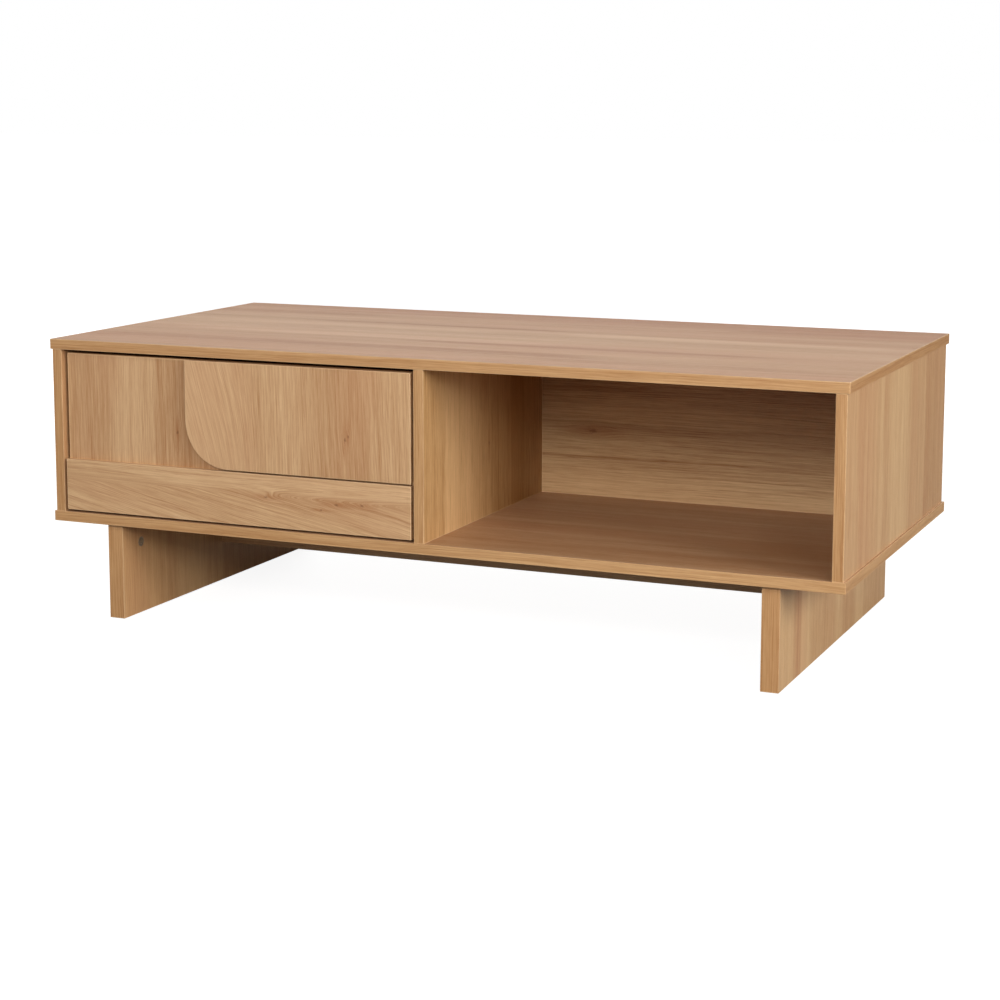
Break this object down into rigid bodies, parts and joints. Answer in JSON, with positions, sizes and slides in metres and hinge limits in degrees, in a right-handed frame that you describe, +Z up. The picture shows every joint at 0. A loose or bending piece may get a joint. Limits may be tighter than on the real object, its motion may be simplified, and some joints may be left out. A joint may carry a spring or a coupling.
{
  "type": "coffee table with a drawer",
  "caption": "Low rectangular wood veneer coffee table on slab legs, with a handleless inset drawer that slides out beside an open storage compartment.",
  "frame": {"origin": "on the floor under the middle of the table", "axes": "+X along the table to the right as seen from the drawer side, +Y to the rear, +Z up; the drawer opens towards -Y"},
  "size_m": [1.2, 0.6, 0.415],
  "materials": {
    "veneer": "satin wood veneer on board",
    "front_veneer": "satin wood veneer on board",
    "edge_banding": "satin wood edge band",
    "box_board": "matte wood laminate",
    "hardboard": "matte hardboard",
    "zinc_fittings": "zinc plated",
    "slide_steel": "zinc plated rolled steel",
    "cage_steel": "plain rolled steel",
    "ball_steel": "polished steel",
    "beech_dowels": "plain beech",
    "glide_plastic": "moulded plastic"
  },
  "bodies": {
    "carcass": {"top_panel": "veneer", "bottom_panel": "veneer", "left_side_panel": "veneer", "right_side_panel": "veneer", "divider_panel": "veneer", "drawer_bay_back_panel": "veneer", "compartment_back_panel": "veneer", "left_leg": "veneer", "right_leg": "veneer", "stretcher_rail": "veneer", "top_edge_band": "edge_banding", "bottom_edge_band": "edge_banding", "left_side_edge_band": "edge_banding", "right_side_edge_band": "edge_banding", "divider_edge_band": "edge_banding", "left_leg_edge_band": "edge_banding", "right_leg_edge_band": "edge_banding", "stretcher_edge_band": "edge_banding", "carcass_cam_locks": "zinc_fittings", "leg_cam_locks": "zinc_fittings", "carcass_cam_bolts": "zinc_fittings", "leg_cam_bolts": "zinc_fittings", "cabinet_rail_screws": "zinc_fittings", "left_cabinet_rail": "slide_steel", "right_cabinet_rail": "slide_steel", "carcass_dowels": "beech_dowels", "leg_dowels": "beech_dowels", "leg_glides": "glide_plastic"},
    "drawer": {"drawer_front_panel": "front_veneer", "drawer_overlay_panel": "front_veneer", "drawer_lower_strip": "front_veneer", "drawer_front_edge_band": "edge_banding", "drawer_left_side": "box_board", "drawer_right_side": "box_board", "drawer_back": "box_board", "drawer_box_edge_bands": "box_board", "drawer_bottom": "hardboard", "left_drawer_rail": "slide_steel", "right_drawer_rail": "slide_steel", "drawer_rail_screws": "zinc_fittings", "drawer_front_screws": "zinc_fittings", "drawer_back_screws": "zinc_fittings", "drawer_cam_locks": "zinc_fittings", "drawer_cam_bolts": "zinc_fittings", "drawer_dowels": "beech_dowels"},
    "middle_rails": {"left_middle_rail": "slide_steel", "right_middle_rail": "slide_steel"},
    "outer_ball_cages": {"left_outer_ball_cage": "cage_steel", "right_outer_ball_cage": "cage_steel", "outer_balls": "ball_steel"},
    "inner_ball_cages": {"left_inner_ball_cage": "cage_steel", "right_inner_ball_cage": "cage_steel", "inner_balls": "ball_steel"}
  },
  "joints": [
    {"name": "drawer_slide", "type": "slide", "parent": "carcass", "child": "drawer", "axis": [0, -1, 0], "range_m": [0, 0.3]},
    {"name": "middle_rails_slide", "type": "slide", "parent": "carcass", "child": "middle_rails", "axis": [0, -1, 0], "range_m": [0, 0.15]},
    {"name": "outer_cages_slide", "type": "slide", "parent": "carcass", "child": "outer_ball_cages", "axis": [0, -1, 0], "range_m": [0, 0.075]},
    {"name": "inner_cages_slide", "type": "slide", "parent": "carcass", "child": "inner_ball_cages", "axis": [0, -1, 0], "range_m": [0, 0.225]}
  ],
  "couplings": [
    {"joint": "middle_rails_slide", "follows": "drawer_slide", "ratio": 0.5},
    {"joint": "outer_cages_slide", "follows": "drawer_slide", "ratio": 0.25},
    {"joint": "inner_cages_slide", "follows": "drawer_slide", "ratio": 0.75}
  ]
}
